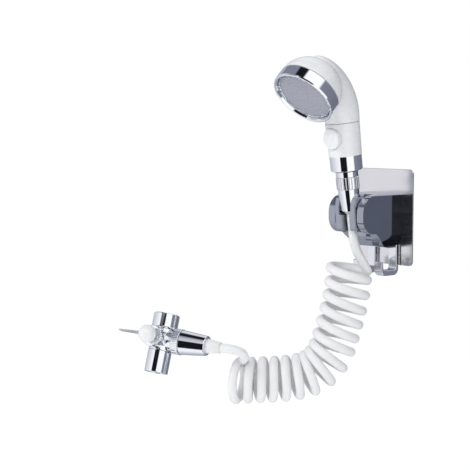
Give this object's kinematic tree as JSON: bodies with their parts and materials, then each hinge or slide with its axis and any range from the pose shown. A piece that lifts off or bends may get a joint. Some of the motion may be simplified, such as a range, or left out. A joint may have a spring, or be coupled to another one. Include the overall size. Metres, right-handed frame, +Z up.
{
  "type": "handheld bath sprayer",
  "caption": "Handheld shower sprayer on a curly hose, with a tilting stick-on wall cradle with hooks and a tap diverter with lever and quick coupler.",
  "frame": {"origin": "centre of the wall face of the bracket's adhesive pad", "axes": "+Z up along the wall, -Y out of the wall towards the user, +X along the wall, to the right as one faces the wall"},
  "size_m": [0.1837, 0.2445, 0.3553],
  "materials": {
    "foam": "matte",
    "stainless": "mirror polished",
    "chrome": "polished",
    "dark_chrome": "polished",
    "steel": "satin",
    "brass": "machined",
    "white_abs": "gloss",
    "acetal": "satin",
    "clear": "clear plastic",
    "grey_face": "satin",
    "rubber_black": "matte",
    "hose_plastic": "soft gloss"
  },
  "bodies": {
    "root": {"adhesive_pad": "foam", "steel_plate": "stainless", "bracket_screws": "steel", "bracket_body": "dark_chrome", "hook_left": "chrome", "hook_right": "chrome", "pivot_pins": "steel", "valve_body": "chrome", "locking_balls": "steel", "inlet_washer": "rubber_black", "inlet_screen": "steel", "outlet_tube": "chrome", "aerator_insert": "acetal", "aerator_washer": "rubber_black", "spindle_packing": "rubber_black", "bonnet_nut": "chrome", "hose_plug": "brass", "plug_oring": "rubber_black", "coupler_barrel": "chrome", "hose_cuff_lower": "hose_plastic", "hose_bush": "hose_plastic", "hose_coil": "hose_plastic", "hose_upper": "hose_plastic", "hose_lower": "hose_plastic", "sleeve_spring": "steel"},
    "cradle": {"cradle": "dark_chrome", "friction_washers": "acetal"},
    "handset": {"thread_stub": "chrome", "grip_seal": "rubber_black", "collar": "chrome", "grip_shell": "white_abs", "grip_waterway": "acetal", "plunger_seal": "rubber_black", "button_spring": "steel", "neck_bearing": "acetal", "neck_snap_ring": "steel", "hose_barb": "brass", "hose_cuff_upper": "hose_plastic", "hose_washer": "rubber_black"},
    "hose_nut": {"cone_nut": "chrome", "knurled_ring": "chrome"},
    "button": {"stop_button": "white_abs", "valve_plunger": "brass"},
    "head": {"head_shell": "white_abs", "head_waterway": "acetal", "neck_oring": "rubber_black", "face_ring": "chrome", "light_ring": "clear", "face_plate": "grey_face", "face_seal": "rubber_black"},
    "inlet_nut": {"inlet_nut": "chrome"},
    "lever": {"diverter_plug": "brass", "lever_knob": "white_abs", "lever_arm": "steel"},
    "sleeve": {"release_sleeve": "chrome"}
  },
  "joints": [
    {"name": "cradle_tilt", "type": "hinge", "parent": "root", "child": "cradle", "pos_m": [0, -0.049, -0.002], "axis": [1, 0, 0], "range_deg": [-8.5, 21.5], "deforming": ["hose_upper", "hose_coil"]},
    {"name": "handset_lift", "type": "slide", "parent": "cradle", "child": "handset", "axis": [0, -0.1478, 0.989], "range_m": [0, 0.06]},
    {"name": "hose_nut_turn", "type": "hinge", "parent": "handset", "child": "hose_nut", "pos_m": [0, -0.05556, 0.02578], "axis": [0, -0.1478, 0.989], "continuous": true},
    {"name": "button_press", "type": "slide", "parent": "handset", "child": "button", "axis": [0, 0.989, 0.1478], "range_m": [0, 0.0025], "stiffness_N_per_m": 900, "springref_m": -0.001, "deforming": ["button_spring"]},
    {"name": "head_turn", "type": "hinge", "parent": "handset", "child": "head", "pos_m": [0, -0.0662, 0.09699], "axis": [0, -0.1478, 0.989], "range_deg": [-90, 90]},
    {"name": "inlet_nut_turn", "type": "hinge", "parent": "root", "child": "inlet_nut", "pos_m": [-0.13057, -0.19231, -0.109], "axis": [-0.0872, 0.3161, 0.9447], "continuous": true},
    {"name": "lever_turn", "type": "hinge", "parent": "root", "child": "lever", "pos_m": [-0.12074, -0.21503, -0.11954], "axis": [-0.4131, 0.8515, -0.323], "range_deg": [0, 90]},
    {"name": "sleeve_slide", "type": "slide", "parent": "root", "child": "sleeve", "axis": [-0.9065, -0.4184, 0.0564], "range_m": [0, 0.0014], "stiffness_N_per_m": 1200, "springref_m": -0.001, "deforming": ["sleeve_spring"]}
  ]
}
